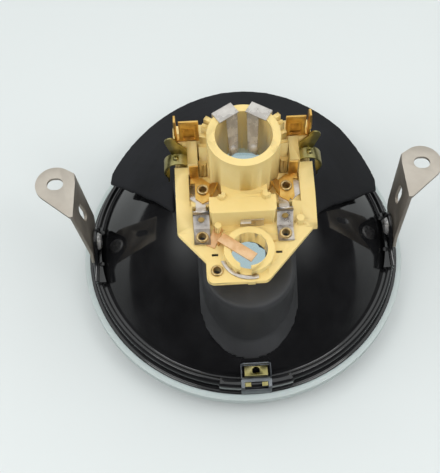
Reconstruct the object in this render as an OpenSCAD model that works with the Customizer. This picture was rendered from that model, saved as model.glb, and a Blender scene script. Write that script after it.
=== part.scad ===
// Scooter headlight unit, lying on its lens with the bulb holder on top.
// Z runs along the optical axis, from the front of the lens to the back of the holder.

/* [Lens] */
// Outer diameter of the glass
lens_d = 145.4; // [140:0.2:150]
// Height of the domed front below the rim plane
lens_depth = 14; // [11:0.5:17]
// Thickness of the glass
lens_t = 3.2; // [2.5:0.1:4]
// Height of the straight edge of the glass
lens_edge = 3.4; // [2.5:0.1:4.5]
// Distance between the upright flutes on the inside
flute_pitch = 8; // [6:0.5:12]
// Height of a flute above the inner face
flute_h = 0.9; // [0.4:0.1:1.5]
// Radius of the clear disc in the middle of the lens
clear_r = 17; // [12:1:24]

/* [Reflector] */
// How far the glass stands out beyond the black steel rim
lens_lip = 2.4; // [1.5:0.1:3.5]
// Width of the rolled rim outside the bowl
rim_roll = 6.3; // [5.8:0.1:7]
// Focal length of the parabolic bowl
focal = 24; // [22:0.5:27]
// Height of the rim shoulder above the rim plane
shoulder_h = 6.3; // [4.5:0.1:8]
// Sheet thickness
sheet_t = 0.9; // [0.7:0.1:1.2]
// Outer radius of the neck that takes the holder
neck_r = 24; // [22:0.5:26]
// Height of the neck lip above the apex of the bowl
neck_h = 6; // [4:0.5:8]
// Width of the rolled lip on the neck
lip_w = 2; // [1:0.25:3]
// Distance of the parking light from the optical axis
park_off = 35.5; // [33:0.5:37]

/* [Rubber boot] */
// Wall of the boot
boot_t = 2; // [1.5:0.1:3]
// Radius of the round end over the parking light
thumb_r = 18.5; // [16:0.5:20]
// Distance of that round end's centre from the axis
thumb_off = 35.5; // [32:0.5:38]
// How far the thumb's flat top lies below the neck's lip
thumb_drop = 4; // [2:0.5:7]
// Width of the skirt that lies on the bowl
skirt_w = 4; // [2:0.5:6]

/* [Drip flap] */
// How far the crescent's outer edge lies inside the rim's
flap_inset = 1.3; // [0.5:0.1:4]
// Rubber thickness
flap_t = 1.8; // [1.4:0.1:2.6]
// How far the flap's inner ring lies below the neck's lip
flap_in_drop = 9; // [7:0.5:11]
// Height of its outer edge above the rim plane, at the top of the lamp
flap_top_h = 28; // [26:0.5:30]
// How much lower the outer edge runs towards its two corners
flap_drop = 14; // [10:0.5:16]

/* [Bulb holder] */
// Outer radius of the main collar
collar_r = 13.94; // [13.5:0.1:14.5]
// Radius of the main bulb bore
bulb_r = 10.85; // [10.5:0.05:11]
// Height of the base plate's upper face above the neck's lip
plate_h = 7.5; // [6:0.5:9]
// Height of the collar top above the base plate
collar_h = 27; // [24:0.5:30]
// Height of the block in front of the collar, above the base plate
block_h = 10; // [8:0.5:13]
// Thickness of the base plate
plate_t = 2; // [1.6:0.1:2.6]
// Half width of the base plate
plate_w = 27; // [25:0.5:28]
// Distance of the base plate's lower edge from the axis
plate_low = 47.5; // [46:0.5:50]
// Outer radius of the parking socket ring
park_ring_r = 9.6; // [9:0.1:10.4]
// Radius of the parking bulb bore
park_bore_r = 7; // [6.6:0.1:7.4]
// Height of the parking ring above the base plate
park_ring_h = 3.5; // [2:0.5:5]

/* [Contacts] */
// Thickness of the contact sheet
leaf_t = 0.5; // [0.4:0.1:0.7]
// Thickness of the spade blades
blade_t = 0.8; // [0.7:0.1:1]
// Width of the spade blades
blade_w = 6.3; // [4.8:0.1:6.3]
// Outer radius of an eyelet's collar
eyelet_r = 2.4; // [2:0.1:2.8]
// Radius of an eyelet's hole
eyelet_bore = 1.5; // [1:0.1:1.7]

/* [Mounting ears] */
// Sheet thickness of the ears
ear_t = 1.3; // [1:0.1:1.6]
// Radius of the rounded end of the ear's tongue
ear_r = 8.5; // [8:0.1:9.5]
// Width of the ear at its bend
ear_w = 21.6; // [19:0.2:23]
// Height of the ear above its pivot
ear_rise = 28.6; // [24:0.2:32]
// How far the limb leans outwards over its height
ear_lean = 5; // [3:0.2:7]
// Outward distance from the bend to the middle of the tongue's slot
tongue_dx = 8; // [7:0.2:10]
// Distance of that slot's middle from the middle of the bend
tongue_dy = 5.8; // [3:0.2:7]
// Width of the slot in the tongue
tongue_slot_w = 5.8; // [5:0.1:6.5]
// Length of the slot in the tongue
tongue_slot_l = 7; // [6.6:0.1:8.5]
// Width of the slot in the limb
limb_slot_w = 5; // [4.2:0.1:6]
// Length of the slot in the limb
limb_slot_l = 10; // [7:0.5:12]
// Radius of the pivot rivet's shank
rivet_r = 2.5; // [2:0.1:3]
// Radial running clearance of the ear on its rivet
rivet_gap = 0.08; // [0.05:0.01:0.1]
// Height of the pivot above the rim plane
pivot_h = 13.6; // [13.4:0.2:15]
// Sheet thickness of the black brackets
bracket_t = 1.5; // [1.2:0.1:2]

/* [Beam adjuster] */
// Sideways place of the adjuster
adj_x = 1.5; // [0:0.5:3]
// Core radius of the adjuster nut's thread
nut_bore = 1.65; // [1.4:0.05:1.8]
// Width of the nut
nut_w = 9.6; // [8.5:0.1:10.4]
// Depth of the nut
nut_d = 4.3; // [4.2:0.1:5]
// Height of the nut
nut_h = 2.2; // [2:0.1:3]

/* [Hidden] */
$fn = 64;

seat_gap = 0.2;
ear_knee = 3.2;
ear_mid_y = 7.2;
limb_slot_y = 5.2;
limb_slot_z = 14;
ear_tilt = atan2(ear_lean, ear_rise - ear_knee);
limb_l = ear_knee + (ear_rise - ear_knee) / cos(ear_tilt);
body_gap = 0.3;
eps = 0.01;
lens_r = lens_d / 2;
rim_r = lens_r - lens_lip;
bowl_r = rim_r - rim_roll;
rim_z = lens_depth;
shoulder_z = rim_z + shoulder_h;
apex_z = shoulder_z + bowl_r * bowl_r / (4 * focal);
neck_z = apex_z + neck_h;
thumb_z = neck_z - thumb_drop;
flap_in_z = neck_z - flap_in_drop;
plate_z = neck_z + plate_h;
under_z = plate_z - plate_t;
block_z = plate_z + block_h;
collar_z = plate_z + collar_h;
pivot_z = rim_z + pivot_h;
seal_t = 0.8;
wall_r = rim_r - 1.9;
crest_r = bowl_r + 2.8;

function bowl_z(r) = apex_z - r * r / (4 * focal);
function bowl_line(r0, r1, lift, steps) =
    [for (i = [0 : steps]) let (r = r0 + (r1 - r0) * i / steps) [r, bowl_z(r) + lift]];

// Glass

glass_base = rim_z - seal_t - lens_edge;
dome_h = glass_base;
sphere_r = (lens_r * lens_r + dome_h * dome_h) / (2 * dome_h);

module dome(r_off, floor_z) {
    // The cap of a large sphere whose lowest point is the front of the lens
    intersection() {
        translate([0, 0, sphere_r]) sphere(r = sphere_r - r_off, $fn = 180);
        translate([0, 0, floor_z]) cylinder(r = lens_r - r_off, h = glass_base - floor_z, $fn = 180);
    }
}

module lens() {
    inner_r = lens_r - lens_t;
    color([0.75, 0.86, 0.84, 0.5]) {
        difference() {
            union() {
                dome(0, 0);
                translate([0, 0, glass_base - eps]) cylinder(r = lens_r, h = lens_edge + eps, $fn = 180);
            }
            intersection() {
                translate([0, 0, sphere_r]) sphere(r = sphere_r - lens_t, $fn = 180);
                cylinder(r = inner_r, h = rim_z, $fn = 180);
            }
        }
        intersection() {
            difference() {
                translate([0, 0, sphere_r]) sphere(r = sphere_r - lens_t + 0.4, $fn = 180);
                translate([0, 0, sphere_r]) sphere(r = sphere_r - lens_t - flute_h, $fn = 180);
            }
            difference() {
                cylinder(r = inner_r - 1.2, h = rim_z, $fn = 180);
                translate([0, 0, -1]) cylinder(r = clear_r, h = rim_z + 2, $fn = 96);
            }
            union() {
                n = floor(inner_r / flute_pitch);
                for (i = [-n : n])
                    translate([i * flute_pitch - flute_pitch / 4, -lens_r, -1])
                        cube([flute_pitch / 2, lens_d, rim_z + 2]);
            }
        }
    }
}

module lens_seal() {
    color([0.16, 0.16, 0.17])
        translate([0, 0, rim_z - seal_t]) difference() {
            cylinder(r = rim_r - 0.6, h = seal_t, $fn = 180);
            translate([0, 0, -1]) cylinder(r = wall_r - 3.2, h = seal_t + 2, $fn = 180);
        }
}

// Reflector with its rolled rim and drawn neck

module reflector() {
    t = sheet_t;
    outer = bowl_line(neck_r, bowl_r, 0, 18);
    inner = bowl_line(bowl_r, neck_r - t, -t * 1.3, 18);
    rim_outer = [
        [bowl_r + 0.7, shoulder_z - 0.7], [bowl_r + 1.5, shoulder_z - 0.1],
        [crest_r - 0.6, shoulder_z + 0.5], [crest_r + 0.4, shoulder_z + 0.3],
        [wall_r - 0.3, shoulder_z - 0.7], [wall_r, shoulder_z - 2],
        [wall_r, rim_z + t + 1.1], [wall_r + 0.5, rim_z + t + 0.2],
        [wall_r + 1, rim_z + t], [rim_r, rim_z + t], [rim_r, rim_z]];
    rim_inner = [
        [wall_r - t, rim_z], [wall_r - t, shoulder_z - 2.1],
        [wall_r - t - 0.4, shoulder_z - t - 0.6], [crest_r - 0.4, shoulder_z - t + 0.1],
        [bowl_r + 1.4, shoulder_z - t - 0.6]];
    neck = [
        [neck_r - t, neck_z], [neck_r + lip_w, neck_z],
        [neck_r + lip_w, neck_z - t], [neck_r, neck_z - t]];
    color([0.05, 0.05, 0.055]) difference() {
        rotate_extrude($fn = 180) polygon(concat(neck, outer, rim_outer, rim_inner, inner));
        translate([0, -park_off, shoulder_z]) cylinder(r = park_bore_r + 1.5, h = neck_z);
    }
}

// Rubber parts

module bowl_fill(lift) {
    // Everything below the back face of the bowl, used to cut rubber to its curve
    rotate_extrude($fn = 120)
        polygon(concat([[0, 0], [0, apex_z + lift]], bowl_line(0.5, bowl_r + 6, lift, 24),
            [[bowl_r + 6, 0]]));
}

module thumb_plan(grow) {
    translate([0, -thumb_off]) circle(r = thumb_r + grow, $fn = 96);
    translate([-thumb_r - grow, -thumb_off]) square([2 * (thumb_r + grow), thumb_off - 8]);
}

collar_boot_r = neck_r + lip_w + body_gap + boot_t;
boot_rim = 1.5;

module rubber_boot() {
    color([0.23, 0.235, 0.245]) difference() {
        union() {
            // skirt that lies on the bowl
            intersection() {
                difference() {
                    bowl_fill(seat_gap + 1.2);
                    bowl_fill(seat_gap);
                }
                linear_extrude(height = 90)
                    difference() {
                        union() {
                            translate([0, -skirt_w + 0.5]) thumb_plan(2);
                            circle(r = collar_boot_r + 2, $fn = 96);
                        }
                        translate([0, -thumb_off]) circle(r = thumb_r - boot_t, $fn = 96);
                        circle(r = neck_r + seat_gap, $fn = 96);
                    }
            }
            // walls of the thumb, with a rounded upper edge
            difference() {
                union() {
                    linear_extrude(height = thumb_z - 1.2) thumb_plan(0);
                    linear_extrude(height = thumb_z) thumb_plan(-1);
                    cylinder(r = collar_boot_r, h = neck_z + boot_rim, $fn = 96);
                }
                bowl_fill(seat_gap);
                linear_extrude(height = thumb_z - boot_t) thumb_plan(-boot_t);
                translate([0, 0, -1]) cylinder(r = neck_r + seat_gap, h = neck_z + 4, $fn = 96);
                translate([0, 0, 10])
                    cylinder(r = neck_r + lip_w + body_gap, h = neck_z - 10 + seat_gap, $fn = 96);
            }
            // flange between the neck's lip and the holder
            translate([0, 0, neck_z + seat_gap]) difference() {
                cylinder(r = collar_boot_r, h = boot_rim - seat_gap, $fn = 96);
                translate([0, 0, -1]) cylinder(r = neck_r - sheet_t, h = 4, $fn = 96);
            }
        }
        translate([0, -park_off, thumb_z - 6]) cylinder(r = park_ring_r + 0.6, h = 12);
    }
}

flap_r = rim_r - flap_inset;
flap_in = collar_boot_r + body_gap;
flap_rings = 7;
flap_a0 = -11;
flap_steps = 44;
corner_x = 0.884 * flap_r;
corner_y = flap_r / 3;
inner_x = flap_in + 0.4;
inner_y = -6;

function flap_edge_z(a) = rim_z + flap_top_h - flap_drop * pow(cos(a), 2);
function lower_r(a) =
    // distance to the nearly straight lower edge, along the direction a
    let (ex = corner_x - inner_x, ey = corner_y - inner_y, c = abs(cos(a)), s = sin(a))
    (corner_x * ey - corner_y * ex) / (c * ey - s * ex);
function flap_out(a) = let (q = lower_r(a)) (q > 0 && q < flap_r) ? max(q, flap_in + 1.5) : flap_r;
function flap_z(r, a) =
    flap_in_z - (flap_in_z - flap_edge_z(a)) * pow((r - flap_in) / (flap_r - flap_in), 1.35);
function flap_pt(i, j, drop) =
    let (a = flap_a0 + (180 - 2 * flap_a0) * j / flap_steps, ro = flap_out(a),
        r = flap_in + (ro - flap_in) * i / flap_rings)
    [r * cos(a), r * sin(a), flap_z(r, a) - drop];

module drip_flap() {
    n = flap_rings + 1;
    m = flap_steps;
    top = [for (j = [0 : m]) for (i = [0 : flap_rings]) flap_pt(i, j, 0)];
    low = [for (j = [0 : m]) for (i = [0 : flap_rings]) flap_pt(i, j, flap_t)];
    k = len(top);
    function at(i, j) = j * n + i;
    skin = [for (j = [0 : m - 1]) for (i = [0 : flap_rings - 1])
        each [[at(i, j), at(i, j + 1), at(i + 1, j + 1)], [at(i, j), at(i + 1, j + 1), at(i + 1, j)]]];
    under = [for (f = skin) [k + f[0], k + f[2], k + f[1]]];
    loop = concat([for (i = [0 : flap_rings]) at(i, 0)],
        [for (j = [1 : m]) at(flap_rings, j)],
        [for (i = [flap_rings - 1 : -1 : 0]) at(i, m)],
        [for (j = [m - 1 : -1 : 1]) at(0, j)]);
    q = len(loop);
    edge = [for (i = [0 : q - 1]) let (a = loop[i], b = loop[(i + 1) % q])
        each [[a, b, k + b], [a, k + b, k + a]]];
    color([0.19, 0.19, 0.21]) polyhedron(points = concat(top, low), faces = concat(skin, under, edge));
}

// Side brackets, rivets and ears

bracket_x = wall_r - 2.2;
bracket_in = bracket_x - bracket_t;
bracket_y0 = -18;
bracket_y1 = 10;
tab_r = 6.2;

module side_bracket() {
    // A flat tab with a foot strap, drawn for the right side
    color([0.05, 0.05, 0.055]) difference() {
        translate([bracket_in, 0, 0]) rotate([90, 0, 90]) linear_extrude(height = bracket_t)
            difference() {
                union() {
                    translate([0, pivot_z]) circle(r = tab_r, $fn = 64);
                    polygon([[bracket_y0, shoulder_z + seat_gap], [bracket_y1, shoulder_z + seat_gap],
                        [bracket_y1, shoulder_z + 3.5], [5.4, pivot_z + 3], [-5.8, pivot_z + 2],
                        [bracket_y0 + 6, shoulder_z + 4.5], [bracket_y0, shoulder_z + 3.5]]);
                }
                translate([0, pivot_z]) circle(r = rivet_r, $fn = 48);
            }
        rotate_extrude($fn = 120) polygon([[bowl_r - 6, 0], [bowl_r - 6, bowl_z(bowl_r - 6) + seat_gap],
            [bowl_r, shoulder_z + seat_gap], [crest_r, shoulder_z + 0.5 + seat_gap],
            [rim_r + 2, shoulder_z + 0.5 + seat_gap], [rim_r + 2, 0]]);
    }
    // foot spot-welded on the shoulder
    color([0.05, 0.05, 0.055]) translate([0, 0, shoulder_z + 0.5 + seat_gap]) intersection() {
        difference() {
            cylinder(r = crest_r + 0.6, h = bracket_t, $fn = 120);
            translate([0, 0, -1]) cylinder(r = bowl_r, h = bracket_t + 2, $fn = 120);
        }
        translate([bracket_in - 6, bracket_y0, -1]) cube([6 + bracket_t, bracket_y1 - bracket_y0, 10]);
    }
}

module side_bracket_right() side_bracket();
module side_bracket_left() mirror([1, 0, 0]) side_bracket();

module pivot_rivet() {
    // shank through bracket and ear, with a head on each side
    color([0.72, 0.71, 0.69]) translate([bracket_in, 0, pivot_z]) rotate([0, 90, 0]) {
        translate([0, 0, -1.4]) cylinder(r1 = rivet_r + 0.6, r2 = rivet_r + 1.5, h = 1.4, $fn = 48);
        cylinder(r = rivet_r, h = bracket_t + ear_t + 2 * seat_gap, $fn = 48);
        translate([0, 0, bracket_t + ear_t + 2 * seat_gap])
            cylinder(r1 = rivet_r + 1.5, r2 = rivet_r + 0.6, h = 1.2, $fn = 48);
    }
}

module pivot_rivet_right() pivot_rivet();
module pivot_rivet_left() mirror([1, 0, 0]) pivot_rivet();

small_rivet_ys = [-9, 7];

module bracket_rivets() {
    // two flush rivets hold each bracket's foot to the rim
    color([0.6, 0.59, 0.57]) for (side = [-1, 1]) for (y = small_rivet_ys)
        translate([side * (bracket_in - 1.2), y, shoulder_z + 0.5 + seat_gap + bracket_t])
            cylinder(r1 = 1.2, r2 = 0.7, h = 0.6, $fn = 32);
}

ear_root_x = bracket_x + seat_gap;

module ear_limb_plan() {
    // face of the limb, seen from outside: the pivot is at the origin
    hull() {
        translate([0, 0.2]) circle(r = 4.4, $fn = 48);
        translate([-7.3, -2.4]) circle(r = 2, $fn = 32);
        translate([8, 1.5]) circle(r = 3, $fn = 32);
        translate([ear_mid_y - ear_w / 2, limb_l - 1]) square([ear_w, 1]);
    }
}

module ear_limb() {
    // flat root round the rivet, then the limb leaning outwards from the knee
    rotate([90, 0, 90]) linear_extrude(height = ear_t) intersection() {
        ear_limb_plan();
        translate([-20, -12]) square([40, 12 + ear_knee]);
    }
    translate([0, 0, ear_knee]) rotate([0, ear_tilt, 0]) translate([0, 0, -ear_knee])
        rotate([90, 0, 90]) linear_extrude(height = ear_t) intersection() {
            ear_limb_plan();
            translate([-20, ear_knee]) square([2 * ear_rise, limb_l]);
        }
}

module ear_tongue() {
    translate([ear_lean, ear_mid_y, ear_rise - ear_t]) linear_extrude(height = ear_t) hull() {
        translate([tongue_dx, tongue_dy]) circle(r = ear_r, $fn = 64);
        translate([0, -ear_w / 2]) square([1.5, ear_w]);
    }
}

module ear() {
    color([0.78, 0.74, 0.68]) translate([ear_root_x, 0, pivot_z]) difference() {
        union() {
            ear_limb();
            ear_tongue();
        }
        rotate([0, 90, 0]) translate([0, 0, -1]) cylinder(r = rivet_r + rivet_gap, h = 4, $fn = 48);
        translate([ear_lean + tongue_dx, ear_mid_y + tongue_dy, ear_rise - ear_t - 1])
            slot(tongue_slot_w, tongue_slot_l, ear_t + 2);
        translate([0, 0, ear_knee]) rotate([0, ear_tilt, 0])
            translate([-1, limb_slot_y, limb_slot_z]) rotate([0, 90, 0])
                slot(limb_slot_w, limb_slot_l, ear_t + 2);
    }
}

module slot(w, l, h) {
    // slot with round ends, long along X
    for (s = [-1, 1]) translate([s * (l - w) / 2, 0, 0]) cylinder(r = w / 2, h = h, $fn = 48);
    translate([-(l - w) / 2, -w / 2, 0]) cube([l - w, w, h]);
}

module ear_right() ear();
module ear_left() mirror([1, 0, 0]) ear();

// Beam adjuster at the lower edge

crest_z = shoulder_z + 0.5;
strap_t = 1;
strap_top = crest_z + seat_gap + strap_t;
strap_half = 13;
clip_t = 0.6;
clip_w = 12.8;
clip_y = -wall_r - seat_gap - strap_t - 0.1;
nut_sheet = 0.4;
cage_low = 2.1;
nut_y = -(bowl_r - 2.2) - nut_d / 2;
nut_z = strap_top + nut_sheet + 1.1;

module lower_bracket() {
    // strap bent over the rim's shoulder
    r0 = crest_r - 0.6;
    r1 = wall_r + seat_gap;
    color([0.06, 0.06, 0.065]) rotate([0, 0, -90 + atan2(adj_x, wall_r) - strap_half])
        rotate_extrude(angle = 2 * strap_half, $fn = 180) polygon([
            [r0, crest_z + seat_gap], [r0, strap_top], [r1 + 0.2, strap_top], [r1 + strap_t, strap_top - 0.8],
            [r1 + strap_t, rim_z + sheet_t + 0.2], [r1 + 0.4, rim_z + sheet_t + 0.2 + 0.5],
            [r1, rim_z + sheet_t + 1.3], [r1, crest_z + seat_gap]]);
}

module adjuster_clip() {
    // spring steel clip folded over the strap, with a window in its fold and a cage for the nut
    z = strap_top + nut_sheet + 0.1;
    depth = nut_y + nut_d / 2 + 0.8 - clip_y;
    color([0.45, 0.47, 0.49]) translate([adj_x, clip_y, 0]) {
        difference() {
            union() {
                translate([-clip_w / 2, -clip_t, z]) cube([clip_w, 4.6, clip_t]);
                translate([-clip_w / 2, -clip_t, rim_z + 1]) cube([clip_w, clip_t, z + clip_t - rim_z - 1]);
            }
            translate([-4.9, -2, z - 3]) cube([9.8, 3.8, 5]);
        }
        // side cheeks and the rear frame of the cage
        for (s = [-1, 1]) translate([s * (clip_w - clip_t) / 2 - clip_t / 2, 0, z])
            rotate([90, 0, 90]) linear_extrude(height = clip_t)
            polygon([[3, 0], [3, 1.7], [depth - clip_t, cage_low + 1.8], [depth, cage_low + 1.8],
                [depth, cage_low], [4.6, 0]]);
        translate([0, depth, z]) rotate([90, 0, 0]) linear_extrude(height = clip_t) difference() {
            polygon([[-clip_w / 2, cage_low], [-clip_w / 2, cage_low + 1.8],
                [-clip_w / 2 + 1.4, cage_low + 2.9], [clip_w / 2 - 1.4, cage_low + 2.9],
                [clip_w / 2, cage_low + 1.8], [clip_w / 2, cage_low]]);
            polygon([[-clip_w / 2 + 0.8, cage_low + 0.6], [-clip_w / 2 + 0.8, cage_low + 1.6],
                [-clip_w / 2 + 1.7, cage_low + 2.3], [clip_w / 2 - 1.7, cage_low + 2.3],
                [clip_w / 2 - 0.8, cage_low + 1.6], [clip_w / 2 - 0.8, cage_low + 0.6]]);
        }
    }
}

module adjuster_nut() {
    // nut pressed from thick sheet, with two tongues under the clip's window
    color([0.72, 0.66, 0.35]) translate([adj_x, 0, 0]) difference() {
        union() {
            translate([-nut_w / 2, nut_y - nut_d / 2, nut_z]) cube([nut_w, nut_d, nut_h]);
            translate([-nut_w / 2, clip_y + 4.4, strap_top]) cube([nut_w, 1.4, nut_z - strap_top + 1]);
            translate([-nut_w / 2, clip_y + 0.1, strap_top]) cube([nut_w, 5, nut_sheet]);
        }
        translate([0, nut_y, nut_z - 1]) cylinder(r = nut_bore, h = nut_h + 2, $fn = 48);
        translate([-2.3, clip_y - 1, strap_top - 1]) cube([4.6, 4.4, 3]);
    }
}

// Moulded bulb holder

block_x0 = -14.2;
block_x1 = 11.2;
block_y = -23.2;
chan_w = 6.6;
chan_floor = plate_z + 0.6;
pocket_z = plate_z + 3.6;
wall_z = block_z + 3.2;
shelf_z = block_z + 2.6;
clip_pocket = 5.2;
spigot_r = neck_r - sheet_t - 0.6;
holder_seat = neck_z + boot_rim;
strip_left = block_x0 - chan_w / 2;
strip_right = block_x1 + chan_w / 2;
strip_y = -28.4;
mid_left = -16.4;
mid_right = 16;
mid_y = -9.4;
earth_eyelet = [-12.5, -42.5];
eyelet_places = [[strip_left, strip_y, chan_floor + leaf_t], [strip_right, strip_y, chan_floor + leaf_t],
    [earth_eyelet[0], earth_eyelet[1], plate_z], [mid_left, mid_y, pocket_z + 2 * leaf_t + 0.06],
    [mid_right, mid_y, pocket_z + 2 * leaf_t + 0.06]];

rib_w = 1.8;
rib_out = 3.2;
rib_first = 55.5;
rib_step = 9;
rib_drop = [0, 1.6, 4.4, 7.4];

module rounded(x0, y0, x1, y1, r) {
    // rectangle with round corners
    translate([x0 + r, y0]) square([x1 - x0 - 2 * r, y1 - y0]);
    translate([x0, y0 + r]) square([x1 - x0, y1 - y0 - 2 * r]);
    for (x = [x0 + r, x1 - r]) for (y = [y0 + r, y1 - r]) translate([x, y]) circle(r = r, $fn = 32);
}

module plate_plan(inset) {
    // outline of the base plate, with the step in its lower left edge
    r = 3 - inset;
    hull() {
        for (s = [-1, 1]) translate([s * (plate_w - 3), 13]) circle(r = r, $fn = 32);
        translate([-plate_w + 3, -24.5]) circle(r = r, $fn = 32);
        translate([plate_w - 3, -22.8]) circle(r = r, $fn = 32);
        translate([-16.5 + 3, -37.2]) circle(r = r, $fn = 32);
        translate([5, -plate_low + 3]) circle(r = r, $fn = 32);
    }
    hull() {
        translate([-16.5 + 3, -36]) circle(r = r, $fn = 32);
        translate([-16.5 + 3, -plate_low + 3]) circle(r = r, $fn = 32);
        translate([5, -plate_low + 3]) circle(r = r, $fn = 32);
    }
}

module flank(x0, x1) {
    // side of the moulding that slopes down to the base plate
    translate([x0, 0, 0]) rotate([90, 0, 90]) linear_extrude(height = x1 - x0)
        polygon([[1, under_z + eps], [1, block_z - 3], [-3.5, block_z - 3.6], [-13, plate_z + 5],
            [-23, plate_z + 1.2], [-25.6, plate_z], [-25.6, under_z + eps]]);
}

module holder_body() {
    // base plate with a raised border
    translate([0, 0, under_z]) linear_extrude(height = plate_t) plate_plan(0);
    // block in front of the collar
    translate([0, 0, under_z]) linear_extrude(height = block_z - under_z)
        rounded(block_x0, block_y, block_x1, 14, 1.6);
    flank(-plate_w, strip_left - chan_w / 2);
    flank(strip_right + chan_w / 2, plate_w);
    // side walls beside the terminals and the shelf that carries them
    for (s = [-1, 1]) translate([s * 19.7 - 1.9, -3.5, under_z])
        cube([3.8, 11.6, wall_z - under_z]);
    translate([0, 0, under_z]) linear_extrude(height = shelf_z - under_z)
        rounded(-plate_w, 7.6, plate_w, 16, 1.5);
    // floors of the pockets for the brass contacts
    for (x = [mid_left, mid_right]) translate([x - 5.6, mid_y - 6.6, under_z])
        cube([11.2, 13.2, pocket_z - under_z]);
    // main collar, with upright ribs beside it
    translate([0, 0, under_z]) cylinder(r = collar_r, h = collar_z - under_z, $fn = 96);
    for (s = [-1, 1]) for (k = [0 : 3]) rotate([0, 0, 90 - s * (rib_first + rib_step * k)])
        translate([collar_r - 1, -rib_w / 2, under_z])
            cube([rib_out + 1, rib_w, collar_z - 1.2 - rib_drop[k] - under_z]);
    // ring of the parking socket and its low outer step
    translate([0, -park_off, under_z]) cylinder(r = park_ring_r, h = plate_t + park_ring_h, $fn = 96);
    // seat on the neck, and the spigots that enter the neck and the boot
    translate([0, 0, holder_seat]) cylinder(r = neck_r + 0.5, h = under_z - holder_seat + eps, $fn = 96);
    translate([0, 0, neck_z - 8]) cylinder(r = spigot_r, h = 10 + boot_rim, $fn = 96);
    translate([0, -park_off, thumb_z - 4])
        cylinder(r = park_bore_r + 1, h = under_z - thumb_z + 4 + eps, $fn = 96);
}

module holder_bosses() {
    // pegs that locate the contacts
    translate([-9.2, -16, block_z - eps]) cylinder(r1 = 1.9, r2 = 1.3, h = 1.6, $fn = 32);
    translate([7.6, -16.2, block_z - eps]) cylinder(r1 = 2.1, r2 = 1.4, h = 1.6, $fn = 32);
    translate([20.4, -23.4, plate_z]) cylinder(r = 1.5, h = 4, $fn = 32);
    for (s = [-1, 1]) translate([s * 15.9, 1, under_z]) cylinder(r = 1.7, h = block_z - 1 - under_z, $fn = 32);
    translate([-11.3, -25.3, plate_z - eps]) cylinder(r = 1.3, h = 4.6, $fn = 32);
    translate([-1.2, -plate_low - 0.4, under_z]) cube([2.8, 2, plate_t]);
}

module bulb_holder() {
    color([0.92, 0.81, 0.5]) difference() {
        union() {
            holder_body();
            holder_bosses();
        }
        // main and parking bulb bores
        translate([0, 0, neck_z - 10]) cylinder(r = bulb_r, h = 60, $fn = 96);
        translate([0, -park_off, thumb_z - 8]) cylinder(r = park_bore_r, h = 40, $fn = 96);
        // notch in the parking ring and slots beside it
        translate([-3.8, -park_off - park_ring_r - 1, plate_z + 0.6]) cube([4, 5, 10]);
        for (x = [-13, 11.4]) translate([x - 1.2, -36.2, under_z - 1]) cube([2.4, 1.2, 5]);
        // channels of the link strips
        for (x = [strip_left, strip_right]) translate([x - chan_w / 2, -32, chan_floor])
            cube([chan_w, 32 + mid_y - 6.6 + eps, 20]);
        // pockets of the brass contacts
        for (p = [[mid_left - 5.3, -9.3], [8.2, mid_right + 5.3]]) difference() {
            translate([p[0], mid_y - 6.6, pocket_z]) cube([p[1] - p[0], 13.2, 20]);
            translate([0, 0, under_z]) cylinder(r = collar_r, h = 40, $fn = 96);
        }
        // side pockets of the spring clips
        for (s = [-1, 1]) translate([s * (plate_w - clip_pocket / 2 + 2) - clip_pocket / 2 - 2, 0, plate_z])
            cube([clip_pocket + 4, 7.6, shelf_z - plate_z + 1]);
        // eyelet holes
        for (p = eyelet_places) translate([p[0], p[1], under_z - 1])
            cylinder(r = eyelet_bore + 0.2, h = 12, $fn = 32);
    }
}

// Contacts

module contact_eyelets() {
    // hollow rivets that hold the contacts down
    color([0.75, 0.6, 0.3]) for (p = eyelet_places)
        translate([p[0], p[1], p[2] + 0.05]) rotate_extrude($fn = 48)
            polygon([[eyelet_bore, 0], [eyelet_r, 0], [eyelet_r, 0.35], [eyelet_r - 0.4, 0.8], [eyelet_bore, 0.8]]);
}

contact_a = 58;
flange_w = 8.8;
contact_w = 5;
contact_tip = 4;
contact_shift = -1.3;
contact_skew = 2.1;
contact_lean = 22;
contact_l = 16.6;
contact_in = sqrt(bulb_r * bulb_r - flange_w * flange_w / 4) - leaf_t - 0.1;

module dome_button(r, h) {
    // pressed dome on a contact, built up along Z
    rotate_extrude($fn = 48) polygon([[0, -0.2], [r, -0.2], [r, 0.2], [0.94 * r, 0.45 * h],
        [0.75 * r, 0.72 * h], [0.45 * r, 0.92 * h], [0, h]]);
}

module main_contact() {
    // leaf bent over the collar's rim, with a round contact at its lower end
    over = collar_r + 0.25 - contact_in;
    color([0.78, 0.75, 0.72]) rotate([0, 0, contact_a - 90]) translate([0, contact_in, collar_z + 0.05]) {
        translate([-flange_w / 2, 0, 0]) cube([flange_w, over + leaf_t, leaf_t]);
        translate([-flange_w / 2, over, -3.4]) cube([flange_w, leaf_t, 3.4 + eps]);
        rotate([-contact_lean, 0, 0]) {
            translate([0, leaf_t, 0.3]) rotate([90, 0, 0]) linear_extrude(height = leaf_t)
                polygon([[contact_shift - contact_w / 2, 0], [contact_shift + contact_w / 2, 0],
                    [contact_skew + contact_tip / 2, -contact_l], [contact_skew - contact_tip / 2, -contact_l]]);
            translate([contact_skew, 0.1, 0.3 - contact_l + 2.3]) rotate([90, 0, 0]) dome_button(1.9, 1.5);
        }
    }
}

module main_contact_right() main_contact();
module main_contact_left() mirror([1, 0, 0]) main_contact();

terminal_x = 16.8;
terminal_w = 7.6;
terminal_h = 12.2;
spade_x = 25.4;
spade_y = 5.4;
spade_h = 14.6;

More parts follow.
